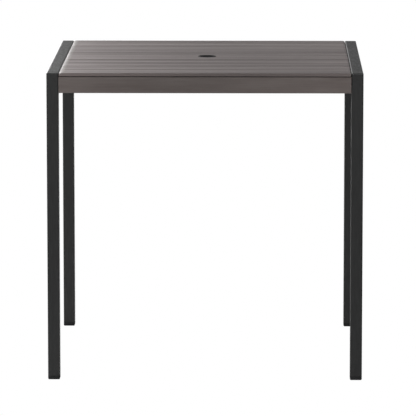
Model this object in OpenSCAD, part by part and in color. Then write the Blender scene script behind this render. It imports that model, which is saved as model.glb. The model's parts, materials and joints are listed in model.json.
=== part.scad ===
// Square outdoor dining table. Two side frames of mitred square tube stand on plastic
// foot caps and carry a slatted top of moulded boards, with a board apron at the front
// and the back and an umbrella ring in the middle of the top.
// Millimetres, +Z up, +Y to the back, origin on the floor under the middle of the top.

/* [Table] */
// Width of the table across its front
table_w = 762; // [620:1:1000]
// Depth of the table from front to back
table_d = 762; // [620:1:1000]
// Height of the top above the floor
table_h = 749; // [650:1:800]

/* [Frame tube] */
// Side of the square tube in the legs and the side rails
tube_size = 29; // [26:0.5:40]
// Wall of the square tube
tube_wall = 1.5; // [1.2:0.1:2]
// Outside radius along the tube's edges
tube_r = 3; // [2.5:0.1:4]
// Radius ground on the welded corner where a leg meets its rail
weld_r = 3; // [1:0.1:3.2]

/* [Top boards] */
// Number of boards in the top
slat_count = 5; // [3:2:7]
// Thickness of a board
slat_t = 7.5; // [6.5:0.1:12]
// Gap between two neighbouring boards
slat_gap = 4.5; // [2:0.1:8]
// Radius along the upper edges of a board
slat_r = 1; // [0.5:0.1:2]
// Width of the easing across each end of a board
ease_w = 7; // [4:0.5:12]
// Drop of that easing at the very end
ease_drop = 1.5; // [0.8:0.1:2.5]
// Gap between the ends of the boards and the side rails
end_gap = 1; // [0.5:0.1:3]
// Width of the groove along the middle of a board
groove_w = 4; // [2:0.1:6]
// Depth of that groove
groove_depth = 1.8; // [0.5:0.1:2.5]
// Width of a relief channel under a board
relief_w = 16; // [8:0.5:20]
// Depth of a relief channel
relief_depth = 1.5; // [0.5:0.1:2]
// Distance from a board's edge to the middle of its relief channel
relief_inset = 20; // [14:0.5:24]

/* [Aprons] */
// Height of an apron board
apron_h = 39; // [36:0.5:70]
// Thickness of an apron board
apron_t = 12; // [10:0.5:16]
// Radius along the lower outer edge of an apron
apron_r = 2.5; // [1:0.1:4]
// Shadow gap between an apron and the board above it
apron_seam = 2; // [0.5:0.1:3]
// Gap between the ends of an apron and the legs
apron_end_gap = 0.3; // [0.2:0.1:1]
// Height of a relief channel in the back of an apron
apron_relief_h = 7; // [4:0.5:8]
// Distance between the two relief channels of an apron
apron_relief_spacing = 26; // [25:0.5:27]

/* [Under frame] */
// Thickness of a cross rail, front to back
cross_t = 20; // [16:0.5:30]
// Height of a cross rail
cross_h = 30; // [25:0.5:34]
// Wall of a cross rail
cross_wall = 1.2; // [1:0.1:2]
// Outside radius along the edges of a cross rail
cross_r = 2; // [1.5:0.1:3]
// Width of the shelf on which the board ends lie
ledge_w = 25; // [20:0.5:40]
// Height of the flange that bolts to a side rail
ledge_h = 25; // [22:0.5:28]
// Metal thickness of the ledges and channels
sheet_t = 2; // [1.5:0.1:3]
// Width of a support channel
channel_w = 30; // [20:0.5:40]
// Height of a support channel
channel_h = 15; // [10:0.5:20]
// Distance from the middle of the table to the middle of a support channel
channel_x = 117; // [60:1:200]

/* [Foot caps] */
// Height of the part of a foot cap that shows
cap_h = 10; // [6:0.5:20]
// Radius round the bottom of a foot cap
cap_r = 4; // [1:0.1:5]
// Thickness of the sole under the hollow of a foot cap
sole_t = 3; // [2:0.1:4]
// Length of the stem inside the leg
stem_h = 22; // [14:0.5:40]
// Side of the square stem
stem_size = 21; // [16:0.5:22]
// Wall of the hollow stem
stem_wall = 2; // [1.5:0.1:3]
// Radius along the edges of the stem
stem_r = 3; // [2:0.1:4]
// Radius along the edges of the stem's hollow
stem_hollow_r = 2; // [1:0.1:3]
// Number of gripping fins round the stem
fin_count = 3; // [2:1:4]
// Thickness of a fin
fin_t = 1.2; // [0.8:0.1:1.6]

/* [Umbrella ring] */
// Diameter of the hole for the umbrella pole
bore_d = 40; // [38:0.5:50]
// Wall of the ring's sleeve
sleeve_wall = 1.6; // [1.2:0.1:2.5]
// Width of the flange outside the sleeve
flange_w = 1.4; // [1:0.1:6]
// Thickness of the flange
flange_t = 1.6; // [1.2:0.1:2]
// Height of the flange above the boards
flange_proud = 0.8; // [0.1:0.1:1]
// Bevel round the mouth of the ring
lead_in = 0.6; // [0.3:0.1:0.8]
// Wall of the nut that clamps the ring from below
ring_nut_wall = 4; // [3:0.1:8]
// Height of the ring nut
ring_nut_h = 6; // [4:0.5:10]
// Number of finger lugs round the ring nut
lug_count = 8; // [4:1:12]
// Diameter of a finger lug
lug_d = 6; // [4:0.5:8]
// Length of sleeve that stands out below the ring nut
sleeve_tail = 1.5; // [0.5:0.1:5]

/* [Fasteners] */
// Diameter of a board screw and an apron screw
screw_d = 4; // [3:0.1:5]
// Diameter of a screw's head
screw_head_d = 8; // [7:0.1:9]
// Height of a screw's head
screw_head_h = 2.4; // [2:0.1:3]
// Bevel round a screw's head
screw_bevel = 0.8; // [0.4:0.1:1.2]
// Depth to which a screw bites into its board
screw_bite = 4.5; // [3:0.1:5]
// Depth to which an apron screw bites into its apron
apron_bite = 7; // [5:0.1:8]
// Distance between the two screws across a board at each support
screw_spacing = 64; // [40:1:70]
// Distances of the apron screws from the middle of the table
apron_screw_x = [60, 250];
// Diameter of a frame bolt
bolt_d = 6; // [5:0.5:6]
// Diameter of a bolt's head
bolt_head_d = 10.5; // [9:0.5:11]
// Height of a bolt's head
bolt_head_h = 3.3; // [2.5:0.1:5]
// Bevel round a bolt's head
bolt_bevel = 1.6; // [0.5:0.1:2]
// Diameter of a washer
washer_d = 12; // [11:0.5:14]
// Thickness of a washer
washer_t = 1.2; // [0.8:0.1:2]
// Width across the flats of a weld nut
nut_af = 10; // [9:0.5:10]
// Thickness of a weld nut
nut_t = 5; // [4:0.5:6]
// Length of bolt that stands out past its weld nut
bolt_tail = 1.5; // [0.5:0.1:3]
// Distance between neighbouring frame bolts along a side rail
bolt_spacing = 270; // [150:1:290]

/* [Clearances] */
// Clearance on the radius of a screw in its board, or of a bolt in its nut
thread_clear = 0.1; // [0.05:0.05:0.3]
// Clearance on the radius of a screw or bolt in a drilled wall
drill_clear = 0.3; // [0.2:0.05:0.6]
// Clearance of a fin inside the leg
fin_clear = 0.15; // [0.1:0.05:0.3]
// Clearance of the umbrella ring in its board, on the radius
ring_clear = 0.2; // [0.1:0.05:0.4]

/* [Hidden] */
$fn = 64;
past = 1;
least_r = 0.3;
slat_w = (table_d - (slat_count - 1) * slat_gap) / slat_count;
slat_under = table_h - slat_t;
rail_inner_x = table_w / 2 - tube_size;
slat_len = 2 * (rail_inner_x - end_gap);
ease_r = (ease_w * ease_w + ease_drop * ease_drop) / (2 * ease_drop);
apron_len = 2 * (rail_inner_x - apron_end_gap);
apron_top = slat_under - apron_seam;
cross_inner_y = table_d / 2 - apron_t - cross_t;
cross_mid_z = slat_under - cross_h / 2;
ledge_len = 2 * cross_inner_y;
bolt_z = slat_under - ledge_h / 2;
sleeve_r = bore_d / 2 + sleeve_wall;
flange_r = sleeve_r + flange_w;
ring_nut_r = sleeve_r + ring_nut_wall;
sleeve_bottom = slat_under - ring_nut_h - sleeve_tail;
ledge_screw_x = rail_inner_x - (ledge_w + sheet_t) / 2;
support_xs = [-ledge_screw_x, -channel_x, channel_x, ledge_screw_x];
bolt_ys = [-bolt_spacing, 0, bolt_spacing];
apron_screw_xs = [for (side = [-1, 1], x = apron_screw_x) side * x];
slat_ys = [for (i = [0:slat_count - 1]) (i + 0.5) * slat_w + i * slat_gap - table_d / 2];
screw_ys = [for (y = slat_ys, side = [-1, 1]) y + side * screw_spacing / 2];
corner_names = ["front_left", "front_right", "back_left", "back_right"];
corner_sides = [[0, 0], [1, 0], [0, 1], [1, 1]];
end_names = ["front", "back"];
side_names = ["left", "right"];
coat = "#343434";
board = "#6a625f";
apron_board = "#5a5451";
moulding = "#28292a";
zinc = "#9fa2a5";

// Carries an outline drawn in Y and Z along X, half of the length to each side
module along_x(length) {
    rotate([90, 0, 90])
        linear_extrude(length, center = true)
            children();
}

// Carries an outline drawn in X and Z along Y, half of the length to each side
module along_y(length) {
    rotate([90, 0, 0])
        linear_extrude(length, center = true)
            children();
}

// Moves what is drawn at the front left corner to the corner with these two mirrorings
module at_corner(sides) {
    mirror([sides[0], 0, 0])
        mirror([0, sides[1], 0])
            children();
}

// Rectangle about the origin with all four corners rounded
module round_rect(w, h, r) {
    square([w - 2 * r, h], center = true);
    square([w, h - 2 * r], center = true);
    for (x = [-1, 1], y = [-1, 1])
        translate([x * (w / 2 - r), y * (h / 2 - r)])
            circle(r);
}

// Wall of a rolled tube, with an inner radius that keeps the wall even round the corners
module tube_section(w, h, wall, r) {
    difference() {
        round_rect(w, h, r);
        round_rect(w - 2 * wall, h - 2 * wall, max(r - wall, least_r));
    }
}

// Rectangle standing on the origin, with its two upper corners rounded
module crowned_rect(w, h, r) {
    translate([-w / 2, 0])
        square([w, h - r]);
    translate([r - w / 2, 0])
        square([w - 2 * r, h]);
    for (x = [-1, 1])
        translate([x * (w / 2 - r), h - r])
            circle(r);
}

// Rectangle standing on the origin, whose top curves down to both ends on wide arcs
module eased_rect(w, h) {
    difference() {
        translate([-w / 2, 0])
            square([w, h]);
        for (side = [-1, 1])
            difference() {
                translate([side * w / 2, h])
                    square([2 * ease_w, 2 * ease_drop], center = true);
                translate([side * (w / 2 - ease_w), h - ease_r])
                    circle(ease_r);
            }
    }
}

// Round post or head along Z whose free rim is bevelled
module bevelled_disc(d, h, bevel) {
    cylinder(h = h - bevel, d = d);
    translate([0, 0, h - bevel])
        cylinder(h = bevel, d1 = d, d2 = d - 2 * bevel);
}

// Side view of a whole side frame, with its two welded corners ground round
module frame_outline() {
    crowned_rect(table_d, table_h, weld_r);
}

module leg() {
    color(coat)
        intersection() {
            translate([(tube_size - table_w) / 2, (tube_size - table_d) / 2, cap_h])
                linear_extrude(table_h)
                    tube_section(tube_size, tube_size, tube_wall, tube_r);
            along_x(table_w + 2 * past)
                polygon([
                    [-table_d / 2 - past, 0],
                    [-table_d / 2 + tube_size + past, 0],
                    [-table_d / 2 + tube_size + past, table_h - tube_size - past],
                    [-table_d / 2 - past, table_h + past],
                ]);
            along_x(table_w + 2 * past)
                frame_outline();
        }
}

module side_rail() {
    color(coat)
        difference() {
            intersection() {
                translate([(tube_size - table_w) / 2, 0, table_h - tube_size / 2])
                    along_y(table_d)
                        tube_section(tube_size, tube_size, tube_wall, tube_r);
                along_x(table_w + 2 * past)
                    polygon([
                        [-table_d / 2 - past, table_h + past],
                        [-table_d / 2 + tube_size + past, table_h - tube_size - past],
                        [table_d / 2 - tube_size - past, table_h - tube_size - past],
                        [table_d / 2 + past, table_h + past],
                    ]);
                along_x(table_w + 2 * past)
                    frame_outline();
            }
            for (y = bolt_ys)
                translate([-rail_inner_x - tube_wall - past, y, bolt_z])
                    rotate([0, 90, 0])
                        cylinder(h = tube_wall + 2 * past, r = bolt_d / 2 + drill_clear);
        }
}

// Plug with a rounded shoe below the tube and a hollow, finned stem inside it
module foot_cap() {
    fin_size = tube_size - 2 * tube_wall - 2 * fin_clear;
    hollow_size = stem_size - 2 * stem_wall;
    fin_step = stem_h / (fin_count + 1);
    color(moulding)
        translate([(tube_size - table_w) / 2, (tube_size - table_d) / 2, 0])
            difference() {
                union() {
                    intersection() {
                        linear_extrude(cap_h)
                            round_rect(tube_size, tube_size, tube_r);
                        mirror([0, 0, 1])
                            translate([0, 0, -cap_h - past])
                                along_x(2 * tube_size)
                                    crowned_rect(tube_size, cap_h + past, cap_r);
                        mirror([0, 0, 1])
                            translate([0, 0, -cap_h - past])
                                along_y(2 * tube_size)
                                    crowned_rect(tube_size, cap_h + past, cap_r);
                    }
                    translate([0, 0, cap_h - past])
                        linear_extrude(stem_h + past)
                            round_rect(stem_size, stem_size, stem_r);
                    for (i = [1:fin_count])
                        translate([0, 0, cap_h + i * fin_step])
                            linear_extrude(fin_t)
                                round_rect(fin_size, fin_size, tube_r);
                }
                translate([0, 0, sole_t])
                    linear_extrude(cap_h + stem_h)
                        round_rect(hollow_size, hollow_size, stem_hollow_r);
            }
}

// Tube welded between two legs behind an apron, with drilled holes for the apron's screws
module cross_rail() {
    color(coat)
        difference() {
            translate([0, -cross_inner_y - cross_t / 2, cross_mid_z])
                along_x(2 * rail_inner_x)
                    tube_section(cross_t, cross_h, cross_wall, cross_r);
            for (x = apron_screw_xs)
                translate([x, past - cross_inner_y, cross_mid_z])
                    rotate([90, 0, 0])
                        cylinder(h = cross_t + 2 * past, r = screw_d / 2 + drill_clear);
        }
}

// Angle that bolts to a side rail and holds up the ends of the boards
module slat_ledge() {
    color(coat)
        difference() {
            translate([-rail_inner_x, 0, slat_under])
                along_y(ledge_len)
                    polygon([
                        [0, 0],
                        [ledge_w, 0],
                        [ledge_w, -sheet_t],
                        [sheet_t, -sheet_t],
                        [sheet_t, -ledge_h],
                        [0, -ledge_h],
                    ]);
            support_drillings(-ledge_screw_x);
            for (y = bolt_ys)
                translate([-rail_inner_x - past, y, bolt_z])
                    rotate([0, 90, 0])
                        cylinder(h = sheet_t + 2 * past, r = bolt_d / 2 + drill_clear);
        }
}

// Folded channel under the boards, open downwards, beside the umbrella hole
module support_channel() {
    color(coat)
        difference() {
            translate([-channel_x, 0, slat_under])
                along_y(ledge_len)
                    difference() {
                        translate([-channel_w / 2, -channel_h])
                            square([channel_w, channel_h]);
                        translate([sheet_t - channel_w / 2, -channel_h - past])
                            square([channel_w - 2 * sheet_t, channel_h - sheet_t + past]);
                    }
            support_drillings(-channel_x);
        }
}

// Holes for the board screws through the metal under the boards
module support_drillings(x) {
    for (y = screw_ys)
        translate([x, y, slat_under - sheet_t - past])
            cylinder(h = sheet_t + 2 * past, r = screw_d / 2 + drill_clear);
}

// Board with rounded long edges, eased ends, a middle groove above and two relief channels below
module top_slat(y) {
    color(board)
        difference() {
            translate([0, y, slat_under])
                intersection() {
                    along_x(slat_len)
                        difference() {
                            crowned_rect(slat_w, slat_t, slat_r);
                            polygon([
                                [0, slat_t - groove_depth],
                                [groove_w / 2, slat_t],
                                [groove_w / 2, slat_t + past],
                                [-groove_w / 2, slat_t + past],
                                [-groove_w / 2, slat_t],
                            ]);
                            for (side = [-1, 1])
                                translate([side * (slat_w / 2 - relief_inset), 0])
                                    square([relief_w, 2 * relief_depth], center = true);
                        }
                    along_y(slat_w + 2 * past)
                        eased_rect(slat_len, slat_t);
                }
            for (x = support_xs, side = [-1, 1])
                translate([x, y + side * screw_spacing / 2, slat_under - past])
                    cylinder(h = screw_bite + thread_clear + past, r = screw_d / 2 + thread_clear);
            if (abs(y) < slat_w / 2 + flange_r)
                umbrella_cut();
        }
}

// Stepped hole in the boards for the umbrella ring's sleeve and flange
module umbrella_cut() {
    translate([0, 0, slat_under - past])
        cylinder(h = slat_t + 2 * past, r = sleeve_r + ring_clear);
    translate([0, 0, table_h + flange_proud - flange_t])
        cylinder(h = flange_t + past, r = flange_r + ring_clear);
}

// Board with two relief channels in its back and a rounded lower outer edge
module apron() {
    color(apron_board)
        difference() {
            translate([0, apron_t / 2 - table_d / 2, apron_top])
                along_x(apron_len)
                    difference() {
                        translate([-apron_t / 2, -apron_h])
                            square([apron_t, apron_h]);
                        translate([-apron_t / 2, -apron_h])
                            difference() {
                                translate([-past, -past])
                                    square(apron_r + past);
                                translate([apron_r, apron_r])
                                    circle(apron_r);
                            }
                        for (side = [-1, 1])
                            translate([apron_t / 2, (side * apron_relief_spacing - apron_h) / 2])
                                square([2 * relief_depth, apron_relief_h], center = true);
                    }
            for (x = apron_screw_xs)
                translate([x, past - cross_inner_y - cross_t, cross_mid_z])
                    rotate([90, 0, 0])
                        cylinder(h = apron_bite + thread_clear + past, r = screw_d / 2 + thread_clear);
        }
}

// Screw along Z with its head below the origin and its shank above
module pan_screw(shank) {
    cylinder(h = shank, d = screw_d);
    mirror([0, 0, 1])
        bevelled_disc(screw_head_d, screw_head_h, screw_bevel);
}

module slat_screws() {
    color(zinc)
        for (x = support_xs, y = screw_ys)
            translate([x, y, slat_under - sheet_t])
                pan_screw(sheet_t + screw_bite);
}

module apron_screws() {
    color(zinc)
        for (x = apron_screw_xs)
            translate([x, -cross_inner_y, cross_mid_z])
                rotate([90, 0, 0])
                    pan_screw(cross_t + apron_bite);
}

// Button-head bolts, driven from inside through a ledge into a side rail
module frame_bolts() {
    shank = washer_t + sheet_t + tube_wall + nut_t + bolt_tail;
    color(zinc)
        for (y = bolt_ys)
            translate([sheet_t + washer_t - rail_inner_x, y, bolt_z])
                rotate([0, 90, 0]) {
                    translate([0, 0, -shank])
                        cylinder(h = shank, d = bolt_d);
                    bevelled_disc(bolt_head_d, bolt_head_h, bolt_bevel);
                }
}

// Washers between the bolt heads and a ledge
module bolt_washers() {
    color(zinc)
        for (y = bolt_ys)
            translate([sheet_t - rail_inner_x, y, bolt_z])
                rotate([0, 90, 0])
                    difference() {
                        cylinder(h = washer_t, d = washer_d);
                        translate([0, 0, -past])
                            cylinder(h = washer_t + 2 * past, r = bolt_d / 2 + thread_clear);
                    }
}

// Hexagon nuts welded inside a side rail
module weld_nuts() {
    color(zinc)
        for (y = bolt_ys)
            translate([-rail_inner_x - tube_wall, y, bolt_z])
                rotate([0, -90, 0])
                    difference() {
                        cylinder(h = nut_t, r = nut_af / 2 / cos(30), $fn = 6);
                        translate([0, 0, -past])
                            cylinder(h = nut_t + 2 * past, r = bolt_d / 2 + thread_clear);
                    }
}

// Flanged sleeve that lines the umbrella hole
module umbrella_ring() {
    color(moulding)
        rotate_extrude()
            polygon([
                [bore_d / 2, sleeve_bottom],
                [sleeve_r, sleeve_bottom],
                [sleeve_r, table_h + flange_proud - flange_t],
                [flange_r, table_h + flange_proud - flange_t],
                [flange_r, table_h],
                [flange_r - flange_proud, table_h + flange_proud],
                [bore_d / 2 + lead_in, table_h + flange_proud],
                [bore_d / 2, table_h + flange_proud - lead_in],
            ]);
}

// Ring nut with finger lugs, tightened against the underside of the boards
module umbrella_ring_nut() {
    color(moulding)
        translate([0, 0, slat_under - ring_nut_h])
            difference() {
                union() {
                    cylinder(h = ring_nut_h, r = ring_nut_r);
                    for (i = [0:lug_count - 1])
                        rotate([0, 0, i * 360 / lug_count])
                            translate([ring_nut_r, 0, 0])
                                cylinder(h = ring_nut_h, d = lug_d);
                }
                translate([0, 0, -past])
                    cylinder(h = ring_nut_h + 2 * past, r = sleeve_r + thread_clear);
            }
}

for (i = [0:3])
    at_corner(corner_sides[i]) leg();
for (i = [0:3])
    at_corner(corner_sides[i]) foot_cap();
for (i = [0:1])
    mirror([i, 0, 0]) side_rail();
for (i = [0:1])
    mirror([i, 0, 0]) slat_ledge();
for (i = [0:1])
    mirror([i, 0, 0]) support_channel();
for (i = [0:1])
    mirror([i, 0, 0]) frame_bolts();
for (i = [0:1])
    mirror([i, 0, 0]) bolt_washers();
for (i = [0:1])
    mirror([i, 0, 0]) weld_nuts();
for (i = [0:1])
    mirror([0, i, 0]) cross_rail();
for (i = [0:1])
    mirror([0, i, 0]) apron();
for (i = [0:1])
    mirror([0, i, 0]) apron_screws();
for (i = [1:slat_count])
    top_slat(slat_ys[i - 1]);
slat_screws();
umbrella_ring();
umbrella_ring_nut();
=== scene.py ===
# %% [markdown]
# A square outdoor dining table, dressed for a product picture. Two side frames of charcoal
# powder-coated tube carry five grey wood-grain boards, with an umbrella hole in the middle.
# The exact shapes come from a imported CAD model. This lesson gives each of its pieces a finish,
# adds the small things that CAD leaves plain, such as weld beads and screw recesses, and then
# lights and frames the table the way a catalogue photographer would.

# %% Load the CAD frame
import json
import math

import bpy
import numpy as np
from mathutils import Euler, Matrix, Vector


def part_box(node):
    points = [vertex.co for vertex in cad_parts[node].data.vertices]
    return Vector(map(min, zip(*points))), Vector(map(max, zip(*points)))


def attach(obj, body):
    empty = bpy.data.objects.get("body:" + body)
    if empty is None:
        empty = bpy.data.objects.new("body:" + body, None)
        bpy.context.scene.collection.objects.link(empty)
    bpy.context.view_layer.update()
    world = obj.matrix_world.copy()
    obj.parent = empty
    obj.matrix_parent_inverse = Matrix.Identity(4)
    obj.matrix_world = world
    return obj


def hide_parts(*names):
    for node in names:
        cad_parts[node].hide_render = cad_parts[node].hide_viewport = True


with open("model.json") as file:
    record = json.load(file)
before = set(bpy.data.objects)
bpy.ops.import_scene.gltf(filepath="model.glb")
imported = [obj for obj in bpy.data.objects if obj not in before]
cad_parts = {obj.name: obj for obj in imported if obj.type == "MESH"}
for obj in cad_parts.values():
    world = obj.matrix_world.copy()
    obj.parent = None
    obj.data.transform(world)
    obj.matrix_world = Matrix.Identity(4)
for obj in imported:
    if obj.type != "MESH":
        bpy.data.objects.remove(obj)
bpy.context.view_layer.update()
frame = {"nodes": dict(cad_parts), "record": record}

nodes = frame["nodes"]

# %% [markdown]
# Everything below is placed from the frame and not from typed coordinates. The box of one node
# gives the side of the tube, the faces of the rails and the middle of each board, so a change of
# size in the CAD model carries through to the pieces that are added here.

# %% Read the driving places from the frame
MM = 0.001
leg_low, leg_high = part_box("front_left_leg")
tube = leg_high.x - leg_low.x
table_top = leg_high.z
rail_under = table_top - tube
rail_inner = -leg_high.x
cross_low, cross_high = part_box("front_cross_rail")
ledge_low, ledge_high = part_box("left_slat_ledge")
channel_low, channel_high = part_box("left_support_channel")
board_names = [f"top_slat_{i}" for i in range(1, 6)]
board_middles = [(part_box(n)[0].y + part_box(n)[1].y) / 2 for n in board_names]
board_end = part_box("top_slat_1")[1].x
board_step = board_middles[1] - board_middles[0]
print(f"tube {tube / MM:.1f} mm, boards {board_step / MM:.1f} mm apart")

# %% [markdown]
# Colours are easiest to pick as sRGB hex codes, the way a paint chart or an image editor gives
# them. Blender's shaders work in linear light, so a code has to be converted once, and one
# function does it for the whole file.

# %% Turn a hex colour into linear light
def linear(code):
    """Linear red, green, blue and alpha of an sRGB code. Each channel c becomes c / 12.92 in the
    darks, and ((c + 0.055) / 1.055) to the power 2.4 above them."""
    srgb = np.array([int(code[i:i + 2], 16) for i in (1, 3, 5)]) / 255
    light = np.where(srgb <= 0.04045, srgb / 12.92, ((srgb + 0.055) / 1.055) ** 2.4)
    return (*light, 1.0)


print("#808080 is", round(linear("#808080")[0], 3), "in linear light")

# %% [markdown]
# A node material can be clicked together by hand, but a script stays readable only if one line
# makes one node. The helper add makes any shader node, sets its own options, and fills each input
# either with a number or with a link from an earlier node. Every finish on the table starts from
# the same empty material and ends with much the same links, so two more helpers take those up.
# A dictionary keeps each finish under the name of the material slot that the CAD record gives.

# %% Make nodes and materials
finishes = {}


def add(tree, kind, inputs=(), **options):
    """One shader node of the kind. options are its own settings, and inputs are pairs of a socket and
    the value or the source that goes into it."""
    node = tree.nodes.new("ShaderNode" + kind)
    for name, value in options.items():
        setattr(node, name, value)
    for socket, value in inputs:
        if isinstance(value, bpy.types.NodeSocket):
            tree.links.new(value, node.inputs[socket])
        else:
            node.inputs[socket].default_value = value
    return node


def finish_named(name):
    """An empty node material, with its tree, its Principled shader and the Object coordinates in metres."""
    material = bpy.data.materials.new(name)
    material.use_nodes = True
    tree = material.node_tree
    tree.nodes.clear()
    shader = add(tree, "BsdfPrincipled")
    add(tree, "OutputMaterial", [("Surface", shader.outputs["BSDF"])])
    place = add(tree, "TexCoord").outputs["Object"]
    return material, tree, shader, place


def connect(tree, shader, shade, roughness, bump=None):
    """Shade, roughness and bump linked into the Principled shader."""
    tree.links.new(shade, shader.inputs["Base Color"])
    tree.links.new(roughness, shader.inputs["Roughness"])
    if bump:
        tree.links.new(bump.outputs["Normal"], shader.inputs["Normal"])


def keep(slot, material):
    """The material kept as the finish of that slot."""
    finishes[slot] = material
    print(f"{slot}: {material.name}, {len(material.node_tree.nodes)} shader nodes")


# %% [markdown]
# Nearly every finish here needs one kind of pattern: soft irregular spots or streaks of a known
# real size. Noise is the natural choice. Dividing the coordinates by the size of a spot along
# each axis makes one unit of noise one spot, so a streak that is long in X and thin in Y is just
# a noise with unequal sizes. Noise crowds round 0.5, so a range of values is moved onto another
# from the span where most of them lie: 0.3 to 0.7, or 0.7 to 1.3 for the sum of two noises.

# %% Make streaks or spots of a real size
NOISE_SPAN = (0.3, 0.7)
PAIR_SPAN = (0.7, 1.3)


def maths(tree, operation, *values):
    """The result of one sum on the values, each a number or a socket."""
    return add(tree, "Math", list(enumerate(values)), operation=operation).outputs["Value"]


def streaks(tree, place, size_mm, detail=2.0, roughness=0.5):
    """Noise from 0 to 1 whose spots measure size_mm along X, Y and Z: the place is divided by that size,
    and then goes into the noise."""
    scale = [1 / (s * MM) for s in size_mm]
    spread = add(tree, "Mapping", [("Vector", place), ("Scale", scale)]).outputs["Vector"]
    settings = [("Vector", spread), ("Scale", 1.0), ("Detail", detail), ("Roughness", roughness)]
    return add(tree, "TexNoise", settings).outputs["Fac"]


def remap(tree, value, low, high, to_low, to_high):
    """value moved from the range low to high onto to_low to to_high, and held there beyond its ends."""
    ranges = [("From Min", low), ("From Max", high), ("To Min", to_low), ("To Max", to_high)]
    return add(tree, "MapRange", [("Value", value), *ranges]).outputs["Result"]


def blend(tree, share, first, second):
    """Colour first and second mixed by share, from 0 for the first to 1 for the second."""
    sockets = [("Factor", share), ("A", first), ("B", second)]
    return add(tree, "Mix", sockets, data_type="RGBA").outputs["Result"]


def bumped(tree, height, strength, depth):
    """A bump from a height of 0 to 1 that stands for that depth in metres."""
    return add(tree, "Bump", [("Height", height), ("Strength", strength), ("Distance", depth)])


# %% [markdown]
# The legs and side rails are mild steel, powder-coated charcoal. Powder is sprayed on dry and
# baked, and it flows out into a satin skin with a very slight orange peel. To the eye that is an
# even dark colour with a broad, soft highlight. The peel is really about 1 mm across, which is
# under half a pixel here, so it is drawn 3 mm across to show at all. The spray gun passes along
# the tube, so the coat also has faint long flecks of more and less shine, upright on the legs and
# front to back on the rails. The picture shows a hair-thin bright line along the inner edge of
# the right rail. On an even coat the lights of this scene draw no such line, so the powder is
# taken as rubbed smooth there: the edge then mirrors the pale strip behind the table.

# %% Powder-coated steel
FLECK_SPAN = (0.35, 0.65)
CORNER_BLEND = 5 * MM
RUBBED_HALF, RUBBED_FADE = 1 * MM, 2.2 * MM
RUBBED_SHARE = 0.32


def rubbed_edge(tree, x, in_rail):
    """1 on the inner edge of the right rail, out to RUBBED_HALF on both sides of its line, and 0 from
    RUBBED_FADE on. The line lies RUBBED_HALF outward from the rail's inner face."""
    off_line = maths(tree, "ABSOLUTE", maths(tree, "SUBTRACT", x, rail_inner + RUBBED_HALF))
    return maths(tree, "MULTIPLY", in_rail, remap(tree, off_line, RUBBED_HALF, RUBBED_FADE, 1.0, 0.0))


def powder_coated_steel():
    """Charcoal powder coat: a slow drift of shade, orange peel in the bump, and flecks along the tube in
    shade and shine, upright below the rails and lying front to back in them."""
    material, tree, shader, place = finish_named("powder_coated_steel")
    drift = streaks(tree, place, (60, 60, 60))
    upright = streaks(tree, place, (4, 4, 40))
    lying = streaks(tree, place, (4, 26, 4))
    axes = add(tree, "SeparateXYZ", [("Vector", place)])
    in_rail = remap(tree, axes.outputs["Z"], rail_under - CORNER_BLEND, rail_under + CORNER_BLEND, 0.0, 1.0)
    flecks = add(tree, "Mix", [("Factor", in_rail), ("A", upright), ("B", lying)]).outputs["Result"]
    peel = streaks(tree, place, (3, 3, 3), detail=1.0)
    shade = blend(tree, drift, linear("#1a1b1b"), linear("#1e1e1e"))
    shade = blend(tree, remap(tree, flecks, *FLECK_SPAN, 0.0, 0.4), shade, linear("#272828"))
    dullness = remap(tree, flecks, *FLECK_SPAN, 0.49, 0.40)
    rubbed = rubbed_edge(tree, axes.outputs["X"], in_rail)
    dullness = maths(tree, "MULTIPLY", dullness, remap(tree, rubbed, 0.0, 1.0, 1.0, RUBBED_SHARE))
    connect(tree, shader, shade, dullness, bumped(tree, peel, 0.25, 0.15 * MM))
    return material


keep("frame_powder_coat", powder_coated_steel())

# %% [markdown]
# The metal under the boards gets the same powder in a thinner, duller coat, because nobody looks
# at it. It is rougher and a touch greyer, and it carries the dry, slightly grainy look of powder
# that did not flow out fully in the corners.

# %% Matt under-frame coat
def matt_under_coat():
    """Thin matt charcoal coat: grainy bump 2 mm across, high roughness, patches of thinner powder."""
    material, tree, shader, place = finish_named("matt_under_coat")
    grain = streaks(tree, place, (2, 2, 2), detail=3.0)
    patches = streaks(tree, place, (35, 35, 35), detail=3.0)
    shade = blend(tree, patches, linear("#1f2020"), linear("#2a2a2a"))
    dullness = remap(tree, patches, *NOISE_SPAN, 0.58, 0.72)
    connect(tree, shader, shade, dullness, bumped(tree, grain, 0.4, 0.2 * MM))
    return material


keep("under_frame_coat", matt_under_coat())

# %% [markdown]
# The top is not timber. The boards are foamed polystyrene, moulded in a grey-taupe colour and
# brushed along their length, which leaves the fine straight grain that stands in for wood. Boards,
# their sides and the aprons all get painted light that grows towards their ends, so one helper
# does that for the three of them.

# %% Brighten a colour, and paint light towards the ends
FADE_START, FADE_END = 60 * MM, 350 * MM


def brightened(tree, colour, factor):
    """The colour with all its channels multiplied by factor."""
    return add(tree, "VectorMath", [(0, colour), ("Scale", factor)], operation="SCALE").outputs["Vector"]


def painted_light_to_ends(tree, place, colour, darkest_x, least, most):
    """Painted light: the colour times least within FADE_START of the X called darkest_x, growing to
    times most at FADE_END from it."""
    along = add(tree, "SeparateXYZ", [("Vector", place)]).outputs["X"]
    off_darkest = maths(tree, "ABSOLUTE", maths(tree, "SUBTRACT", along, darkest_x))
    return brightened(tree, colour, remap(tree, off_darkest, FADE_START, FADE_END, least, most))


# %% [markdown]
# Each board gets its own shade from a random value for its number, counted across the top. The
# groove and the strips beside the gaps are darkened with painted shade. Only the back edge of the
# top has no painted dark strip. The same place across the top gives all of these, so one function
# shades them together.

# %% Shade the boards across the top
GAP_SHADE_START, GAP_SHADE_END = 14 * MM, 4 * MM
GROOVE_HALF, GROOVE_FADE = 3 * MM, 7 * MM
BACK_EDGE = (2.7, 2.8)


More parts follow.
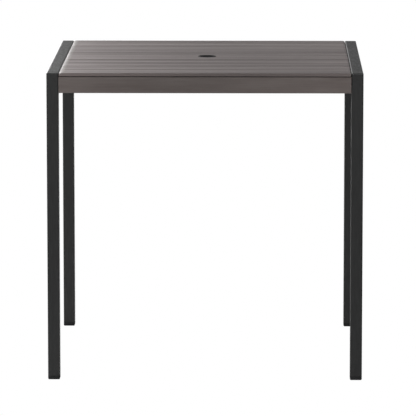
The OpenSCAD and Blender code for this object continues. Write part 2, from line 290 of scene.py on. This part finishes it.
def shaded_across(tree, axes, colour):
    """The colour with a shade of its own for each board, and painted shade beside the gaps and in the groove.
    across counts boards from the middle one, so it is near -2 along the front edge and near 3 along the
    back one, and off_middle is the distance from the middle of a board in board steps."""
    across = maths(tree, "MULTIPLY_ADD", axes.outputs["Y"], 1 / board_step, 0.5)
    own = add(tree, "TexWhiteNoise", [("W", maths(tree, "FLOOR", across))], noise_dimensions="1D")
    colour = brightened(tree, colour, remap(tree, own.outputs["Value"], 0.0, 1.0, 0.93, 1.07))
    off_middle = maths(tree, "ABSOLUTE", maths(tree, "SUBTRACT", maths(tree, "FRACT", across), 0.5))
    # painted shade: darker in the strips beside the gaps and in the groove, none along the back edge
    strip_start, strip_end = 0.5 - GAP_SHADE_START / board_step, 0.5 - GAP_SHADE_END / board_step
    gap_shade = remap(tree, off_middle, strip_start, strip_end, 1.0, 0.8)
    at_back_edge = remap(tree, across, *BACK_EDGE, 0.0, 1.0)
    gap_shade = maths(tree, "MAXIMUM", gap_shade, at_back_edge)
    groove_shade = remap(tree, off_middle, GROOVE_HALF / board_step, GROOVE_FADE / board_step, 0.85, 1.0)
    return brightened(tree, colour, maths(tree, "MULTIPLY", gap_shade, groove_shade))


# %% [markdown]
# In the picture the left ends of the boards are a bright strip, paler than the light alone makes
# them. That strip is a painted highlight with a ragged border, and the rest of that end gets a
# little painted light too.

# %% Paint a highlight on the left ends
END_HIGHLIGHT_START, END_HIGHLIGHT_END = 3 * MM, 13 * MM
END_RAGGED = 2.5 * MM
END_LIT = 100 * MM


def painted_highlight_left_end(tree, place, axes, colour):
    """Painted highlight: the colour blended to pale up to END_HIGHLIGHT_START from the left end and faded
    out at END_HIGHLIGHT_END, both ragged by END_RAGGED, and painted light up to END_LIT."""
    rubbed = streaks(tree, place, (9, 14, 9))
    reach = remap(tree, rubbed, *NOISE_SPAN, -END_RAGGED, END_RAGGED)
    inward = maths(tree, "ADD", axes.outputs["X"], reach)
    left = remap(tree, inward, -board_end + END_HIGHLIGHT_START, -board_end + END_HIGHLIGHT_END, 1.0, 0.0)
    # painted highlight: the pale colour on the left ends
    colour = blend(tree, left, colour, linear("#a8a4a2"))
    # painted light on the rest of the left end
    lit_end = remap(tree, axes.outputs["X"], -board_end, -board_end + END_LIT, 1.08, 1.0)
    return brightened(tree, colour, lit_end)


# %% [markdown]
# Three sizes of streak make the grain itself: broad bands as wide as a thumb, middle streaks of a
# few millimetres, and a hairline grain. The two finer ones also go into the bump. The sides of
# the boards are plain and darker than the top, so the direction of the surface picks between
# the two looks.

# %% Brushed faux-wood boards
SIDE_TO_TOP = (0.5, 0.85)


def brushed_board():
    """Top board: banded grain, shaded across, painted highlight at the left end, painted light at the ends,
    plain sides.
    """
    material, tree, shader, place = finish_named("brushed_faux_wood")
    bands = streaks(tree, place, (900, 28, 28), detail=1.0)
    middle = streaks(tree, place, (220, 4.5, 4.5))
    hairline = streaks(tree, place, (45, 0.9, 0.9), roughness=0.6)
    grain = maths(tree, "ADD", middle, hairline)
    axes = add(tree, "SeparateXYZ", [("Vector", place)])
    colour = blend(tree, remap(tree, bands, *NOISE_SPAN, 0.0, 1.0), linear("#6e6665"), linear("#948b8a"))
    colour = brightened(tree, colour, remap(tree, grain, *PAIR_SPAN, 0.88, 1.12))
    colour = shaded_across(tree, axes, colour)
    # painted highlight and painted light on the left ends
    colour = painted_highlight_left_end(tree, place, axes, colour)
    # painted light, brighter towards both ends of the boards
    colour = painted_light_to_ends(tree, place, colour, 30 * MM, 0.91, 1.03)
    normal = add(tree, "NewGeometry").outputs["Normal"]
    upward = add(tree, "SeparateXYZ", [("Vector", normal)]).outputs["Z"]
    # the plain side colour, with the same painted light towards the ends
    side = painted_light_to_ends(tree, place, linear("#675e5c")[:3], 50 * MM, 0.8, 1.16)
    colour = blend(tree, remap(tree, upward, *SIDE_TO_TOP, 1.0, 0.0), colour, side)
    dullness = remap(tree, hairline, *NOISE_SPAN, 0.46, 0.6)
    connect(tree, shader, colour, dullness, bumped(tree, grain, 0.5, 0.4 * MM))
    return material


keep("top_board", brushed_board())

# %% [markdown]
# The aprons are cut from the same stock, turned on edge. Their outer face is planed rather than
# brushed, so in the picture it is nearly plain: a warmer grey with a faint cloudy mottle. Painted
# light makes it a little brighter towards both ends.

# %% Planed apron boards
def planed_apron():
    """Apron board: the grain of the boards, much weaker, with clouds as long as a hand and painted light at
    the ends.
    """
    material, tree, shader, place = finish_named("planed_faux_wood")
    clouds = streaks(tree, place, (120, 30, 22))
    fine = streaks(tree, place, (60, 1.2, 1.2))
    share = remap(tree, maths(tree, "ADD", clouds, fine), *PAIR_SPAN, 0.0, 1.0)
    colour = blend(tree, share, linear("#5a514e"), linear("#675f5c"))
    # painted light, brighter towards both ends of the apron
    colour = painted_light_to_ends(tree, place, colour, -60 * MM, 0.92, 1.2)
    dullness = remap(tree, fine, *NOISE_SPAN, 0.5, 0.62)
    connect(tree, shader, colour, dullness, bumped(tree, fine, 0.3, 0.25 * MM))
    return material


keep("apron_board", planed_apron())

# %% [markdown]
# Foot caps, umbrella ring and ring nut are injection-moulded polypropylene. The mould is spark
# eroded, which leaves a fine even grit of about half a millimetre and takes the gloss away. It is
# blacker than the powder beside it, so the foot caps show as a darker end on each leg.

# %% Moulded black polypropylene
def moulded_polypropylene():
    """Matt black moulding: spark-eroded grit in bump, shade and shine, drawn 1 mm across to show at all."""
    material, tree, shader, place = finish_named("moulded_polypropylene")
    grit = streaks(tree, place, (1, 1, 1), detail=1.0)
    shade = blend(tree, grit, linear("#131415"), linear("#1a1b1c"))
    dullness = remap(tree, grit, *NOISE_SPAN, 0.66, 0.78)
    connect(tree, shader, shade, dullness, bumped(tree, grit, 0.35, 0.1 * MM))
    return material


keep("black_moulding", moulded_polypropylene())

# %% [markdown]
# Screws, bolts, washers and nuts are steel with a bright zinc plate, passivated so that it has a
# faint blue and yellow cast. A metal keeps the default IOR, and its look comes from the colour of
# its reflection. The cast changes slowly over each part, and barrel plating leaves it slightly dull.

# %% Zinc-plated steel
def zinc_plated_steel():
    """Zinc plate: fully metallic, grey with a slow drift from blue to yellow, and small dull spots."""
    material, tree, shader, place = finish_named("zinc_plated_steel")
    drift = streaks(tree, place, (7, 7, 7))
    spots = streaks(tree, place, (0.8, 0.8, 0.8))
    shade = blend(tree, drift, linear("#b9bfc6"), linear("#c6c2b2"))
    shader.inputs["Metallic"].default_value = 1.0
    connect(tree, shader, shade, remap(tree, spots, *NOISE_SPAN, 0.24, 0.42))
    return material


keep("zinc_fastener", zinc_plated_steel())

# %% [markdown]
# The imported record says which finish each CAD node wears, through the name of a material slot.
# The dictionary from slot to material is filled by now, so one loop over the record dresses all
# of them.

# %% Dress the CAD nodes
def wear(piece, slot):
    """The piece wears the finish of that slot alone."""
    piece.data.materials.clear()
    piece.data.materials.append(finishes[slot])


for part in frame["record"]["subparts"]:
    wear(nodes[part["node"]], part["material_slot"])

# %% [markdown]
# New pieces are surfaces worked out with numpy. Each one is a stack of rings: a closed outline
# with the same number of points at every step, so the faces between two rings follow from their
# numbers alone. Turned parts and beads laid along an edge both fit this form. The first and last
# ring are closed with a flat cap.

# %% Build a mesh from stacks of rings
def ring_faces(ring_count, point_count, first):
    """Quads between neighbouring rings, with point numbers from first on: point j of ring i joins point
    j + 1 and the same two points of ring i + 1."""
    i, j = np.meshgrid(np.arange(ring_count - 1), np.arange(point_count), indexing="ij")
    after = (j + 1) % point_count
    quads = np.stack([i * point_count + j, i * point_count + after,
                      (i + 1) * point_count + after, (i + 1) * point_count + j], axis=-1)
    return (first + quads.reshape(-1, 4)).tolist()


def ringed_piece(name, stacks, slot):
    """One mesh from several stacks of rings, each an array ring by point by XYZ, all turning the same way."""
    points, faces = [], []
    for rings in stacks:
        ring_count, point_count, _ = rings.shape
        first = sum(len(p) for p in points)
        last = first + (ring_count - 1) * point_count
        faces += ring_faces(ring_count, point_count, first)
        faces += [list(range(first, first + point_count))[::-1], list(range(last, last + point_count))]
        points.append(rings.reshape(-1, 3))
    mesh = bpy.data.meshes.new(name)
    mesh.from_pydata(np.concatenate(points).tolist(), [], faces)
    mesh.validate()
    mesh.shade_smooth()
    piece = bpy.data.objects.new(name, mesh)
    bpy.context.scene.collection.objects.link(piece)
    wear(piece, slot)
    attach(piece, "root")
    print(f"{name}: {len(stacks)} solids, {len(faces)} faces")
    return piece


# %% [markdown]
# The mitred corners are ground flush outside and left as welded inside. A fillet bead there is a
# quarter round that fills the corner, with a ripple for each step of the torch and blunt ends.
# The same bead runs under each cross rail where it meets a leg. It could be sculpted, but its
# section is so regular that one formula says it all.

# %% Lay the weld beads
BEAD_SIDE = 3.5 * MM
RIPPLE_STEP, RIPPLE_DEPTH, RIPPLE_BOW = 2.2 * MM, 0.09, 0.8 * MM
RUN_STEPS, ARC_STEPS = 64, 9
SMALLEST_END = 0.02
CORNER_BEAD_SHARES = (0.12, 0.88)
CROSS_BEAD_INSET = 2 * MM


def weld_bead(start, end, first_wall, second_wall):
    """Rings of a bead from start to end. Its side is BEAD_SIDE, times 1 minus RIPPLE_DEPTH times a raised
    cosine for each ripple, and rounds off in a quarter circle over the last BEAD_SIDE of each end. The
    section is the corner point and a quarter circle from first_wall to second_wall, and the ripples bow
    by RIPPLE_BOW in the middle of it."""
    start, end = np.array(start), np.array(end)
    length = np.linalg.norm(end - start)
    along = (end - start) / length
    run = np.linspace(0, length, RUN_STEPS)[:, None]
    angle = np.radians(np.linspace(0, 90, ARC_STEPS))[None, :]
    bowed = run + RIPPLE_BOW * np.sin(2 * angle)
    to_end = np.clip(np.minimum(run, length - run) / BEAD_SIDE, SMALLEST_END, 1)
    side = BEAD_SIDE * np.sqrt(1 - (1 - to_end) ** 2)
    side = side * (1 - RIPPLE_DEPTH * (0.5 + 0.5 * np.cos(2 * np.pi * bowed / RIPPLE_STEP)))
    walls = np.array(first_wall), np.array(second_wall)
    arc = (side * np.cos(angle))[..., None] * walls[0] + (side * np.sin(angle))[..., None] * walls[1]
    spine = start + run * along
    rings = np.concatenate([spine[:, None, :], spine[:, None, :] + arc], axis=1)
    turning = np.dot(np.cross(walls[0], walls[1]), along)
    return rings if turning > 0 else rings[:, ::-1]


corner_beads, cross_beads = [], []
cross_bead_ys = (cross_low.y + CROSS_BEAD_INSET, leg_high.y - CROSS_BEAD_INSET)
for x_side in (-1, 1):
    for y_side in (-1, 1):
        tube_inner_y = y_side * (-leg_low.y - tube)
        xs = [x_side * (rail_inner + share * tube) for share in CORNER_BEAD_SHARES]
        ends = [(x, tube_inner_y, rail_under) for x in xs]
        corner_beads.append(weld_bead(*ends, (0, -y_side, 0), (0, 0, -1)))
        ends = [(x_side * rail_inner, y_side * -y, cross_low.z) for y in cross_bead_ys]
        cross_beads.append(weld_bead(*ends, (-x_side, 0, 0), (0, 0, -1)))
ringed_piece("corner_weld_beads", corner_beads, "frame_powder_coat")
ringed_piece("cross_rail_weld_beads", cross_beads, "frame_powder_coat")

# %% [markdown]
# Screws hold the boards from below, so the view from under the table is full of screw heads. The
# CAD heads are plain discs. Here each one is a turned outline, swept round its axis, whose top is
# then pressed in by the shape of the driver: a cross for the screws and a hexagon for the bolts.
# A boolean cut would do it too, but a height that is lowered inside an outline stays clean.

# %% Shape the driver recesses
HEX_SOFTNESS = 0.06


def cross_recess(x, y, half_span, half_width):
    """1 inside a cross of two bars, 0 outside: the larger of two soft boxes, one along each axis."""
    edge = half_width / 4

    def bar(u, v):
        return np.clip((half_span - abs(u)) / edge, 0, 1) * np.clip((half_width - abs(v)) / edge, 0, 1)

    return np.maximum(bar(x, y), bar(y, x))


def hex_recess(x, y, across_flats):
    """1 inside a hexagon, 0 outside: the largest of the distances to its three pairs of flats, softened."""
    directions = np.radians([0, 60, 120])
    reach = np.max([abs(x * np.cos(a) + y * np.sin(a)) for a in directions], axis=0)
    return np.clip((across_flats / 2 - reach) / (HEX_SOFTNESS * across_flats) + 0.5, 0, 1)


# %% [markdown]
# The outline of a fastener is written from its tip to the middle of its head, in shares of the
# shank's radius and of the head's radius and height. The two ends stop just short of the axis,
# where a small flat cap closes them.

# %% Turn a fastener and set it in place
AROUND, DOME_STEPS = 48, 14
TIP_CENTRE, TIP_RADIUS, TIP_BEVEL = 0.02, 0.7, 0.5
RIM_RADIUS, RIM_BEVEL, RIM_WALL = 0.96, 0.08, 0.35
CROWN_CENTRE = 0.01


def fastener(shank, shank_radius, head_radius, head_height, recess, recess_depth):
    """Rings about Z, head up, seat at height 0: tip bevel, shank, seat, a low side wall and a dome. The
    dome rises from the wall with the root of 1 minus the square of its share of the radius, and all of it
    is pressed in by recess_depth times recess."""
    angle = np.linspace(0, 2 * np.pi, AROUND, endpoint=False)[None, :]
    wall = RIM_WALL * head_height
    tip = [(TIP_CENTRE * shank_radius, -shank), (TIP_RADIUS * shank_radius, -shank)]
    sides = [(shank_radius, -shank + TIP_BEVEL * shank_radius), (shank_radius, 0)]
    rim = [(RIM_RADIUS * head_radius, 0), (head_radius, RIM_BEVEL * head_height), (head_radius, wall)]
    share = np.cos(np.linspace(0, 0.5 * np.pi, DOME_STEPS))[1:-1]
    dome = [(s * head_radius, wall + (head_height - wall) * math.sqrt(1 - s * s)) for s in share]
    crown = [(CROWN_CENTRE * head_radius, head_height)]
    outline = np.array(tip + sides + rim + dome + crown)
    radius, height = outline[:, :1] * np.ones_like(angle), outline[:, 1:] * np.ones_like(angle)
    x, y = radius * np.cos(angle), radius * np.sin(angle)
    on_top = height > wall
    height = height - on_top * recess_depth * recess(x, y)
    return np.stack([x, y, height], axis=-1)


def set_at(rings, seat, out):
    """The rings moved so that their Z axis points along out, with the seat of the head at seat."""
    z = np.array(out, float)
    x = np.cross((0, 1, 0) if abs(z[1]) < 0.5 else (0, 0, 1), z)
    return np.array(seat) + rings @ np.stack([x, np.cross(z, x), z])


# %% [markdown]
# The boards and the aprons are held by one kind of screw and the ledges by one kind of bolt, in
# stock sizes. Only the shanks differ, and their lengths follow from the boxes of the CAD nodes.

# %% Make the three fasteners
SCREW_RADIUS, SCREW_HEAD_RADIUS, SCREW_HEAD = 2 * MM, 4 * MM, 2.4 * MM
BOLT_RADIUS, BOLT_HEAD_RADIUS, BOLT_HEAD = 3 * MM, 5.25 * MM, 3.3 * MM
CROSS_HALF_SPAN, CROSS_HALF_WIDTH, CROSS_DEPTH = 2.2 * MM, 0.6 * MM, 1.5 * MM
HEX_KEY, SOCKET_DEPTH = 4 * MM, 2 * MM


def cross_slot(x, y):
    """The cross recess of a number 2 driver."""
    return cross_recess(x, y, CROSS_HALF_SPAN, CROSS_HALF_WIDTH)


def hex_socket(x, y):
    """The socket of a 4 mm hexagon key."""
    return hex_recess(x, y, HEX_KEY)


def box_length(node, axis):
    """Length of a node's box along an axis."""
    low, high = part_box(node)
    return high[axis] - low[axis]


def screw(shank):
    """A dome-headed screw with a cross recess and a shank of that length."""
    return fastener(shank, SCREW_RADIUS, SCREW_HEAD_RADIUS, SCREW_HEAD, cross_slot, CROSS_DEPTH)


board_screw = screw(box_length("slat_screws", 2) - SCREW_HEAD)
apron_screw = screw(box_length("front_apron_screws", 1) - SCREW_HEAD)
bolt_shank = box_length("left_frame_bolts", 0) - BOLT_HEAD
frame_bolt = fastener(bolt_shank, BOLT_RADIUS, BOLT_HEAD_RADIUS, BOLT_HEAD, hex_socket, SOCKET_DEPTH)
print(len(board_screw), "rings of", AROUND, "points in each fastener")

# %% [markdown]
# Where the fasteners sit follows the pieces that they join. A screw goes up through each ledge
# and channel, twice for every board. Four go out through each cross rail into its apron, and
# three bolts hold each ledge to its side rail.

# %% Place the fasteners
BOARD_SCREW_SPACING = 64 * MM
APRON_SCREW_PLACES = (60 * MM, 250 * MM)
BOLT_SPACING = 270 * MM
SHEET, WASHER = 2 * MM, 1.2 * MM
ledge_screw_x = (ledge_low.x + SHEET + ledge_high.x) / 2
channel_screw_x = (channel_low.x + channel_high.x) / 2
screw_z = ledge_high.z - SHEET
cross_z = (cross_low.z + cross_high.z) / 2
bolt_x = rail_inner - SHEET - WASHER
bolt_z = (ledge_low.z + ledge_high.z) / 2

seats = [(side * x, y + step * BOARD_SCREW_SPACING / 2, screw_z)
         for side in (-1, 1) for x in (ledge_screw_x, channel_screw_x)
         for y in board_middles for step in (-1, 1)]
upright_screws = [set_at(board_screw, seat, (0, 0, -1)) for seat in seats]
screws = ringed_piece("recessed_board_screws", upright_screws, "zinc_fastener")
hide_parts("slat_screws")
for name, y_side in (("front", -1), ("back", 1)):
    seats = [(side * x, y_side * -cross_high.y, cross_z) for side in (-1, 1) for x in APRON_SCREW_PLACES]
    outward_screws = [set_at(apron_screw, seat, (0, -y_side, 0)) for seat in seats]
    screws = ringed_piece(f"recessed_{name}_apron_screws", outward_screws, "zinc_fastener")
    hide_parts(f"{name}_apron_screws")
for name, x_side in (("left", -1), ("right", 1)):
    seats = [(x_side * bolt_x, step * BOLT_SPACING, bolt_z) for step in (-1, 0, 1)]
    outward_bolts = [set_at(frame_bolt, seat, (-x_side, 0, 0)) for seat in seats]
    bolts = ringed_piece(f"socketed_{name}_frame_bolts", outward_bolts, "zinc_fastener")
    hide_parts(f"{name}_frame_bolts")

# %% [markdown]
# The table stands on a pale floor, like the opal sheet of a product table that is lit from below.
# The camera sees it exactly white and no brighter, as in the picture, where the ground runs out
# to plain white: a brighter ground would eat into the edges of the thin legs. All other light
# meets a pale matt sheet, which throws some of it back up under the top. Seen from underneath the
# floor turns clear, so that the underside of the table can be looked at too.

# %% Lay the floor
FLOOR_HALF = 60.0


def opal_floor():
    """Pale sheet: near-white to the table's own light, exactly white to the camera, and clear from below."""
    material, tree, shader, place = finish_named("opal_floor")
    cloud = streaks(tree, place, (900, 900, 900))
    shade = blend(tree, cloud, linear("#f4f4f3"), linear("#f8f8f8"))
    tree.links.new(shade, shader.inputs["Base Color"])
    shader.inputs["Roughness"].default_value = 0.7
    glow = add(tree, "Emission", [("Strength", 1.0)]).outputs["Emission"]
    by_camera = add(tree, "LightPath").outputs["Is Camera Ray"]
    pale = add(tree, "MixShader", [(0, by_camera), (1, shader.outputs["BSDF"]), (2, glow)]).outputs["Shader"]
    clear = add(tree, "BsdfTransparent").outputs["BSDF"]
    behind = add(tree, "NewGeometry").outputs["Backfacing"]
    sheet = add(tree, "MixShader", [(0, behind), (1, pale), (2, clear)]).outputs["Shader"]
    output = next(n for n in tree.nodes if n.type == "OUTPUT_MATERIAL")
    tree.links.new(sheet, output.inputs["Surface"])
    return material


floor_mesh = bpy.data.meshes.new("floor")
corners = [(x * FLOOR_HALF, y * FLOOR_HALF, 0) for x, y in ((-1, -1), (1, -1), (1, 1), (-1, 1))]
floor_mesh.from_pydata(corners, [], [(0, 1, 2, 3)])
floor_mesh.materials.append(opal_floor())
floor = bpy.data.objects.new("floor", floor_mesh)
bpy.context.scene.collection.objects.link(floor)
print("floor", 2 * FLOOR_HALF, "m wide")

# %% [markdown]
# The light is soft and comes mostly from behind on the left: the left rail shines, the right one
# stays dark, and the eased left ends of the boards are a bright strip. Three softboxes on the
# left do that, helped on the board ends by a painted highlight, and a weak one lifts the right
# end. A pale strip far behind lies in the mirror direction of the camera and gives boards and
# rails their even sheen. Boxes in front keep the aprons and the legs readable, and four low ones,
# under the height of the top, do the same for the other sides without touching it. The two of
# them behind stand off to the sides, so that the inner faces of the front legs don't mirror them.
# The watts were solved from the brightness of each part of the table in the picture.

# %% Set the lights
def softbox(name, middle, target, size, watts):
    """A rectangular area light of that width and height at middle, facing target, hidden from the camera."""
    light = bpy.data.lights.new(name, "AREA")
    light.shape, light.energy = "RECTANGLE", watts
    light.size, light.size_y = size
    lamp = bpy.data.objects.new(name, light)
    lamp.location = middle
    lamp.rotation_euler = (Vector(target) - Vector(middle)).to_track_quat("-Z", "Y").to_euler()
    lamp.visible_camera = False
    bpy.context.scene.collection.objects.link(lamp)
    return lamp


top_middle, over_top = (0, 0, table_top), (0, 0, 0.8)
leg_middle, lower_legs = (0, 0, 0.5), (0, 0, 0.4)
softbox("left_behind", (-1.0, 1.1, 1.2), top_middle, (0.8, 0.8), 16)
softbox("left_high", (-1.2, 0.4, 1.8), top_middle, (0.8, 0.8), 4)
softbox("left_close", (-0.95, -0.3, 1.15), top_middle, (0.4, 0.4), 3)
softbox("right_close", (0.95, -0.1, 1.15), top_middle, (0.4, 0.4), 1.4)
softbox("strip_behind", (0, 4.0, 1.5), over_top, (5.0, 1.4), 12)
softbox("front_high", (0, -1.2, 2.0), top_middle, (1.5, 0.6), 15)
softbox("front_low", (0, -3.0, 0.6), lower_legs, (2.0, 2.0), 10)
softbox("front_left", (-1.2, -1.6, 1.0), leg_middle, (0.8, 0.8), 3.5)
softbox("front_right", (1.2, -1.6, 1.0), leg_middle, (0.8, 0.8), 2.3)
softbox("low_behind_left", (-1.5, 2.6, 0.35), leg_middle, (1.0, 0.6), 9)
softbox("low_behind_right", (1.5, 2.6, 0.35), leg_middle, (1.0, 0.6), 9)
softbox("low_left", (-3.0, 0, 0.35), leg_middle, (2.0, 0.6), 9)
softbox("low_right", (3.0, 0, 0.35), leg_middle, (2.0, 0.6), 6)
watts = sum(light.energy for light in bpy.data.lights)
print(len(bpy.data.lights), "softboxes,", round(watts, 1), "W in all")

# %% [markdown]
# Beyond the floor there is only the world. The camera sees it plain white, so that it runs into
# the floor without a horizon. To everything else it is nearly dark, because its even light would
# wash out what the softboxes shape.

# %% Set the world
ROOM_LIGHT = 0.01
WHITE = (1, 1, 1, 1)
world = bpy.data.worlds.new("studio")
bpy.context.scene.world = world
world.use_nodes = True
room = world.node_tree
room.nodes.clear()
seen = add(room, "Background", [("Color", WHITE), ("Strength", 1.0)]).outputs["Background"]
dim = add(room, "Background", [("Color", WHITE), ("Strength", ROOM_LIGHT)]).outputs["Background"]
by_camera = add(room, "LightPath").outputs["Is Camera Ray"]
mixed = add(room, "MixShader", [(0, by_camera), (1, dim), (2, seen)]).outputs["Shader"]
add(room, "OutputWorld", [("Surface", mixed)])
bpy.context.scene.view_settings.view_transform = "Standard"
print("world is white to the camera and", ROOM_LIGHT, "to the table")

# %% [markdown]
# The camera stands far back with a long lens, so the legs stay nearly parallel and the two front
# ones cover the back ones only in part. It looks slightly down, and stands a little to the right
# of the middle. These values were solved from the corners of the table in the picture.

# %% Place the camera
EYE = Vector((0.1355, -9.3727, 1.7577))
LOOK_DOWN = math.radians(8.447)
TURN_LEFT = math.radians(0.8149)
LENS, SENSOR, FARTHEST = 326.16, 36, 200
camera_data = bpy.data.cameras.new("camera")
camera_data.sensor_width = SENSOR
camera_data.lens = LENS
camera_data.clip_end = FARTHEST
camera = bpy.data.objects.new("camera", camera_data)
camera.location = EYE
camera.rotation_euler = Euler((math.radians(90) - LOOK_DOWN, 0, TURN_LEFT))
bpy.context.scene.collection.objects.link(camera)
bpy.context.scene.camera = camera
print(f"camera {EYE.length:.2f} m from the foot of the table, with a {LENS:.0f} mm lens")
